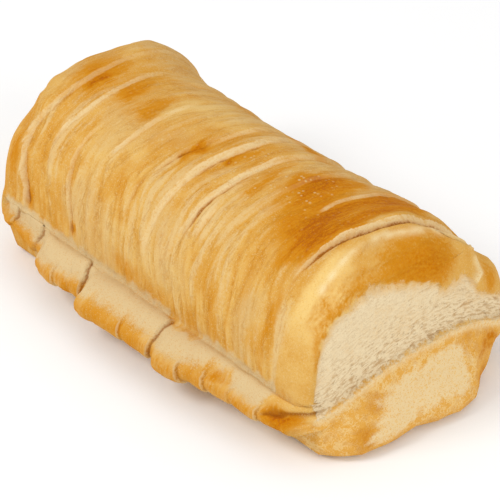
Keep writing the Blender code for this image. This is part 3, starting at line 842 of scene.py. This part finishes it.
GOLD = colour(204, 149, 62)
GOLD_LIGHT = colour(214, 170, 92)
TAN = colour(202, 163, 102)
PALE_GOLD = colour(216, 180, 110)
STRETCHED = colour(236, 216, 168)
TORN_CRUST = colour(216, 176, 116)
CREAM = colour(216, 188, 134)
LIP_PALE = colour(224, 198, 148)
AMBER = colour(198, 131, 26)
ORANGE = colour(188, 112, 0)
BROWN = colour(170, 90, 0)
DARK_BROWN = colour(142, 78, 14)
# the painted highlight of the end roll
ROLL_HIGHLIGHT = colour(232, 198, 124)
CRUMB_LIGHT = colour(226, 206, 168)
CRUMB_SHADE = colour(188, 154, 110)
FLOUR = colour(208, 182, 136)
WALL_GOLD = colour(216, 160, 72)
WALL_LIGHT = colour(226, 190, 124)
WALL_PALE = colour(224, 198, 150)
print("the golden crust is", [round(part, 3) for part in GOLD[:3]], "in linear light")

# %% The bread's material
bread = bpy.data.materials.new("baked_bread")
bread.use_nodes = True
tree = bread.node_tree
shader = tree.nodes["Principled BSDF"]
print("the material starts with", len(tree.nodes), "nodes")


# %% Helpers that add nodes and link them
def add(kind, **values):
    node = tree.nodes.new(kind)
    for key, value in values.items():
        setattr(node, key, value)
    return node


def feed(socket, value):
    """Links a socket's output in, or sets a plain value."""
    if isinstance(value, bpy.types.NodeSocket):
        tree.links.new(value, socket)
    else:
        socket.default_value = value


def mark(name):
    return add("ShaderNodeAttribute", attribute_name=name).outputs["Fac"]


def mix(factor, first, second):
    node = add("ShaderNodeMix", data_type="RGBA")
    for number, value in ((0, factor), (6, first), (7, second)):
        feed(node.inputs[number], value)
    return node.outputs[2]


def calc(operation, *values):
    node = add("ShaderNodeMath", operation=operation)
    for socket, value in zip(node.inputs, values):
        feed(socket, value)
    return node.outputs[0]


def product(*values):
    out = values[0]
    for value in values[1:]:
        out = calc("MULTIPLY", out, value)
    return out


def total(*pairs):
    """Sum of (value, weight) pairs."""
    out = product(*pairs[0])
    for value, weight in pairs[1:]:
        out = calc("ADD", out, product(value, weight))
    return out


print("helpers for single nodes and sums: add, feed, mark, mix, calc, product, total")


# %% Helpers that lay colours, ease values, make noise and draw lines
def over(under, top, *factors):
    """Lays one colour over another, as far as all the factors together allow."""
    return mix(product(*factors), under, top)


def span(source, low, high, to_low=0.0, to_high=1.0):
    """Eases from one value to another while the source goes from low to high."""
    node = add("ShaderNodeMapRange", interpolation_type="SMOOTHSTEP")
    ends = {"Value": source, "From Min": low, "From Max": high, "To Min": to_low, "To Max": to_high}
    for key, value in ends.items():
        feed(node.inputs[key], value)
    return node.outputs["Result"]


def noise_of(vector, scale, detail=3.0, stretch=(1.0, 1.0, 1.0), turned=0.0):
    """Noise with so many cells to the unit of its coordinates, less in a stretched direction."""
    lay = add("ShaderNodeMapping")
    lay.inputs["Rotation"].default_value = (0.0, 0.0, turned)
    feed(lay.inputs["Vector"], vector)
    move = add("ShaderNodeMapping")
    move.inputs["Scale"].default_value = tuple(scale * s for s in stretch)
    feed(move.inputs["Vector"], lay.outputs["Vector"])
    node = add("ShaderNodeTexNoise")
    node.inputs["Scale"].default_value = 1.0
    node.inputs["Detail"].default_value = detail
    feed(node.inputs["Vector"], move.outputs["Vector"])
    return node.outputs["Fac"]


def line(distance, centre, width):
    """1 on a line at a signed distance, fading to 0 at the width on both sides."""
    away = calc("ABSOLUTE", calc("SUBTRACT", distance, centre))
    return span(away, width, 0.0)


print("helpers for masks: over, span, noise_of, line")

# %% Noise that several marks share
place = add("ShaderNodeTexCoord").outputs["Object"]
skin = add("ShaderNodeUVMap", uv_map="skin").outputs["UV"]
torn = add("ShaderNodeUVMap", uv_map="torn").outputs["UV"]
streaks = noise_of(skin, 0.62, 4.0, (1.0, 0.18, 1.0), 0.10)
long_streaks = noise_of(skin, 0.20, 3.0, (1.0, 0.16, 1.0))
scratches = noise_of(skin, 1.3, 2.0, (1.0, 0.16, 1.0), -0.25)
patchy = noise_of(place, 70.0, 3.0)
broad = noise_of(place, 28.0, 2.0)
mottle = noise_of(place, 210.0, 3.0)
fine = noise_of(place, 700.0, 2.0)
grit = noise_of(place, 1500.0, 1.0)
NOISES = {"streaks": streaks, "mottle": mottle, "fine": fine, "patchy": patchy,
          "scratches": scratches, "grit": grit}
# the same noises with their middle at nothing, to push a value up and down
off = {name: calc("SUBTRACT", source, 0.5) for name, source in NOISES.items()}
print("noises:", ", ".join(NOISES), "and two broad ones")

# %% [markdown]
# ## The crust's colours
#
# The crust is painted like a picture: a plain gold ground first, then each mark in its own
# colour over it. The noise is added to a mark before it becomes a mask, so its edge is broken
# by the same streaks that run through the crust.

# %% Golden crust with paler and darker streaks along the pleats, partly painted light and shade
crust = mix(span(total((patchy, 0.6), (broad, 0.4)), 0.40, 0.60), GOLD, GOLD_LIGHT)
pleat = total((mark("pleat"), 0.60), (streaks, 0.26), (scratches, 0.14), (off["fine"], 0.35))
# painted highlight on the pleats' crests in cream and painted shade in their valleys in amber, mixed with
# the crust's own streaks
crust = over(crust, CREAM, span(pleat, 0.52, 0.80, 0.0, 0.65))
crust = over(crust, AMBER, span(pleat, 0.50, 0.28, 0.0, 0.55))
crust = over(crust, TAN, span(broad, 0.52, 0.66, 0.0, 0.55))
crust = over(crust, AMBER, mark("warmth"), span(streaks, 0.3, 0.7, 0.20, 0.60))
# painted shade on the dome's right side, turned from the light
crust = over(crust, TAN, mark("right_side_shade"), span(streaks, 0.35, 0.6, 0.3, 0.8))
crust = over(crust, PALE_GOLD, mark("faded"), span(streaks, 0.3, 0.6, 0.4, 0.9))
roll = mark("roll")
roll_ground = span(total((patchy, 0.4), (broad, 0.4), (mottle, 0.2)), 0.38, 0.64)
roll_colour = mix(roll_ground, GOLD, GOLD_LIGHT)
# painted highlight laid over the end roll's upper left
roll_colour = mix(total((mark("roll_highlight"), 0.9), (off["fine"], 0.5)), roll_colour, ROLL_HIGHLIGHT)
crust = over(crust, roll_colour, roll, 0.9)
wrinkle = product(line(streaks, 0.5, 0.055), span(long_streaks, 0.45, 0.60), span(roll, 0.5, 0.0),
                  span(mark("wall"), 0.5, 0.0), span(mark("skirt"), 0.5, 0.0))
crust = over(crust, ORANGE, wrinkle, 0.30)
print("nodes so far:", len(tree.nodes))

# %% Browning, its edges broken by the streaks
brown = total((1.0, 1.0), (off["streaks"], 1.6), (off["scratches"], 0.8), (off["fine"], 1.2),
              (off["grit"], 1.0))
brown = calc("MULTIPLY", mark("browning"), brown)
for tone, low, high in ((AMBER, 0.02, 0.32), (ORANGE, 0.25, 0.75), (BROWN, 0.65, 1.15)):
    crust = over(crust, tone, span(brown, low, high))
print("nodes so far:", len(tree.nodes))

# %% Small pale blisters
dots = add("ShaderNodeTexVoronoi")
dots.inputs["Scale"].default_value = 420.0
feed(dots.inputs["Vector"], place)
pick = add("ShaderNodeSeparateColor")
feed(pick.inputs[0], dots.outputs["Color"])
chosen = span(pick.outputs[0], 0.70, 0.76)
blister = product(span(dots.outputs["Distance"], 0.42, 0.18), chosen, mark("blister"))
crust = over(crust, CREAM, blister, 0.70)
print("nodes so far:", len(tree.nodes))

# %% Pale stretched lips with a painted highlight, and their crevices with painted shade
lip_edge = total((mark("lip_distance"), 1.0), (off["fine"], 0.8), (off["streaks"], 1.4))
start = calc("MULTIPLY", mark("lip_width"), -0.70)
before = calc("SUBTRACT", start, calc("MULTIPLY", mark("lip_soft"), 0.4))
pale = product(span(lip_edge, before, start), span(lip_edge, 0.5, -0.3), mark("lip_pale"),
               span(total((streaks, 0.7), (fine, 0.3)), 0.32, 0.56, 0.40, 1.0))
# the pale scarp: stretched dough, and a painted highlight where it faces the light
crust = over(crust, LIP_PALE, pale, 0.85)
gap = product(line(lip_edge, 0.5, 1.5), mark("lip_gap"))
# painted shade in the crevices, orange and then dark brown
crust = over(crust, ORANGE, gap, 0.75)
crust = over(crust, DARK_BROWN, span(gap, 0.3, 0.9), 0.60)
print("nodes so far:", len(tree.nodes))

# %% The skirt: floury on its shelf, golden on its side, with painted shade in its breaks
floury = total((mark("flour"), 1.0), (off["fine"], 0.6), (off["grit"], 0.5), (off["mottle"], 0.5))
floury = span(floury, 0.10, 0.95)
crust = over(crust, FLOUR, floury, mark("dust"), 0.95)
split_edge = total((mark("split_distance"), 1.0), (off["fine"], 1.0))
# painted shade in the breaks of the skirt, dark brown along each crack
split = product(line(split_edge, 0.5, 0.9), mark("split_gap"))
crust = over(crust, DARK_BROWN, split, 0.75)
split_rim = product(line(split_edge, -0.6, 0.9), span(mark("split_gap"), 0.1, 0.4))
crust = over(crust, FLOUR, split_rim, 0.6)
print("nodes so far:", len(tree.nodes))

# %% [markdown]
# ## The colours of the torn end
#
# Below the tear the wall stood in the tin and is matt and grainy. Above it lies the crumb, which
# is pale because no heat reached it. It looks smooth where it was pulled slowly and fibrous
# where it tore, and the crust's last shreds leave it tan near its upper edge.

# %% The lower wall, the ridge over the end roll, and painted shade in the crease under its foot
grain = total((fine, 0.45), (grit, 0.55))
wall_ground = span(total((grain, 0.45), (mottle, 0.55)), 0.44, 0.56)
wall_colour = mix(wall_ground, WALL_GOLD, WALL_LIGHT)
wall_brown = total((mark("browning"), 1.0), (off["fine"], 0.5), (off["mottle"], 1.6),
                   (off["patchy"], 1.2))
wall_colour = over(wall_colour, AMBER, span(wall_brown, 0.08, 0.40, 0.0, 0.6))
wall_colour = over(wall_colour, ORANGE, span(wall_brown, 0.40, 0.90))
pale_colour = mix(span(grain, 0.50, 0.36), WALL_PALE, WALL_LIGHT)
wall_colour = over(wall_colour, pale_colour, floury, 0.95)
tear_mark = mark("tear")
rim = product(span(tear_mark, -6.0, -1.5), 0.95)
wall_colour = over(wall_colour, WALL_PALE, rim, span(fine, 0.3, 0.6, 0.4, 1.0))
crust = over(crust, wall_colour, mark("wall"))
crust = over(crust, STRETCHED, mark("ridge"), 0.80)
# painted shade in the crease under the end roll's foot
crust = over(crust, DARK_BROWN, mark("foot_crease"), 0.8)
# dark and light grains over everything but the crumb
crust = over(crust, AMBER, span(grit, 0.42, 0.30, 0.0, 0.35))
crust = over(crust, CREAM, span(grit, 0.56, 0.70, 0.0, 0.40), span(brown, 0.5, 0.1, 0.15, 1.0))
print("nodes so far:", len(tree.nodes))

# %% The bare crumb: smooth on the left, fibrous above its lower edge, tan near its upper edge
torn_place = add("ShaderNodeSeparateXYZ")
feed(torn_place.inputs[0], torn)
across_end, above_edge = torn_place.outputs[0], torn_place.outputs[1]
fibres = noise_of(torn, 0.85, 3.0, (0.28, 1.0, 1.0))
pores = noise_of(torn, 0.70, 2.0, (0.45, 1.0, 1.0))
fibrous_zone = span(above_edge, 30.0, 5.0, 0.35, 1.0)
# painted shade: darker just above the lower edge under the wall's rim, towards the right, in the fibres'
# grooves and in the holes
shade = total((span(above_edge, 9.0, 1.5), 0.12), (span(across_end, 5.0, 50.0), 0.05),
              (product(span(fibres, 0.54, 0.36), fibrous_zone), 0.60), (mark("hole"), 0.9),
              (span(total((fine, 0.5), (grit, 0.5)), 0.52, 0.36), 0.28))
crumb_colour = mix(shade, CRUMB_LIGHT, CRUMB_SHADE)
# painted shade in the pores
pore = product(span(pores, 0.40, 0.28), fibrous_zone)
crumb_colour = over(crumb_colour, CRUMB_SHADE, pore, 0.8)
torn_skin = total((span(tear_mark, 6.0, 0.0), 1.0), (off["fine"], 1.4), (off["patchy"], 1.2))
crumb_colour = over(crumb_colour, TORN_CRUST, torn_skin, span(above_edge, 3.0, 12.0), 0.75)
tear_edge = total((tear_mark, 1.0), (off["fine"], 4.0), (off["mottle"], 7.0), (off["grit"], 2.0))
crumb_mask = span(tear_edge, -1.0, 1.8)
feed(shader.inputs["Base Color"], mix(crumb_mask, crust, crumb_colour))
print("nodes so far:", len(tree.nodes))

# %% [markdown]
# ## Fine relief
#
# Wrinkles thinner than a millimetre would need a mesh of millions of points. The same noises
# that colour the crust also tilt its light a little, so colour and relief stay together.

# %% Fine relief
BUMP_STRENGTH, BUMP_HEIGHT = 0.6, 0.0006
calm = span(calc("MAXIMUM", mark("wall"), roll), 0.0, 0.5, 1.0, 0.1)
crust_height = total((fine, 0.5), (product(streaks, calm), 0.6), (product(scratches, calm), 0.3),
                     (grit, 0.25), (wrinkle, -0.4), (gap, -0.9), (split, -0.6), (blister, 0.5))
crumb_height = total((product(fibres, fibrous_zone), 1.2), (pore, -1.2), (fine, 1.1), (grit, 0.5))
height = add("ShaderNodeMix", data_type="FLOAT")
for number, value in ((0, crumb_mask), (2, crust_height), (3, crumb_height)):
    feed(height.inputs[number], value)
bump = add("ShaderNodeBump")
bump.inputs["Strength"].default_value = BUMP_STRENGTH
bump.inputs["Distance"].default_value = BUMP_HEIGHT
feed(bump.inputs["Height"], height.outputs[0])
feed(shader.inputs["Normal"], bump.outputs["Normal"])
shader.inputs["Roughness"].default_value = 0.80
shader.inputs["Specular IOR Level"].default_value = 0.06
loaf.data.materials.clear()
loaf.data.materials.append(bread)
print("material nodes:", len(tree.nodes))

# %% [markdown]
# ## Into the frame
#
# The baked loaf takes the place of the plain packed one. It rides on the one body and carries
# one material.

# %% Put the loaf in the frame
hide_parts("loaf")
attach(loaf, "root")
print("the loaf has", len(loaf.data.vertices), "points and", len(loaf.data.materials), "material")

# %% [markdown]
# ## Floor, light and camera
#
# The light is a large soft lamp above and to the left, with a pale room all round.

# %% Floor
bpy.ops.object.select_all(action="DESELECT")
bpy.ops.mesh.primitive_plane_add(size=12.0, location=(0.0, 0.0, -0.0002))
floor = bpy.context.active_object
floor.name = "floor"
paint = bpy.data.materials.new("floor_paint")
paint.use_nodes = True
paint.node_tree.nodes["Principled BSDF"].inputs["Base Color"].default_value = (0.92, 0.92, 0.92, 1.0)
paint.node_tree.nodes["Principled BSDF"].inputs["Roughness"].default_value = 0.9
floor.data.materials.append(paint)
print("floor", tuple(round(size, 1) for size in floor.dimensions), "m")


# %% Lamps and room
def lamp(name, spot, size, power, aim=(0.0, 0.0, 0.04)):
    data = bpy.data.lights.new(name, "AREA")
    data.shape = "DISK"
    data.size = size
    data.energy = power
    lamp_object = bpy.data.objects.new(name, data)
    bpy.context.scene.collection.objects.link(lamp_object)
    lamp_object.location = spot
    lamp_object.rotation_euler = (Vector(aim) - Vector(spot)).to_track_quat("-Z", "Y").to_euler()


lamp("window", (-0.5, -1.3, 1.5), 0.8, 16.0)
lamp("bounce", (1.6, 0.1, 0.8), 1.0, 7.0)
world = bpy.data.worlds.new("room")
bpy.context.scene.world = world
world.use_nodes = True
world.node_tree.nodes["Background"].inputs["Color"].default_value = (1.0, 1.0, 1.0, 1.0)
world.node_tree.nodes["Background"].inputs["Strength"].default_value = 0.80
bpy.context.scene.view_settings.view_transform = "Standard"
print("lamps:", [lamp_data.name for lamp_data in bpy.data.lights])

# %% Camera
AZIMUTH, ELEVATION = math.radians(47.93), math.radians(36.09)
DISTANCE = 1.5947
LENS = 228.1
AIM_RIGHT, AIM_DOWN = 0.0010, 0.0111
flat = math.cos(ELEVATION)
back = Vector((math.sin(AZIMUTH) * flat, -math.cos(AZIMUTH) * flat, math.sin(ELEVATION)))
right = Vector((math.cos(AZIMUTH), math.sin(AZIMUTH), 0.0))
up = back.cross(right)
aim = Vector((0.0, 0.0, 0.050)) + right * AIM_RIGHT - up * AIM_DOWN
camera_data = bpy.data.cameras.new("camera")
camera_data.lens = LENS
camera_data.sensor_width = 36.0
camera = bpy.data.objects.new("camera", camera_data)
bpy.context.scene.collection.objects.link(camera)
camera.location = aim + back * DISTANCE
camera.rotation_euler = (-back).to_track_quat("-Z", "Y").to_euler()
bpy.context.scene.camera = camera
print("camera", [round(c, 3) for c in camera.location])
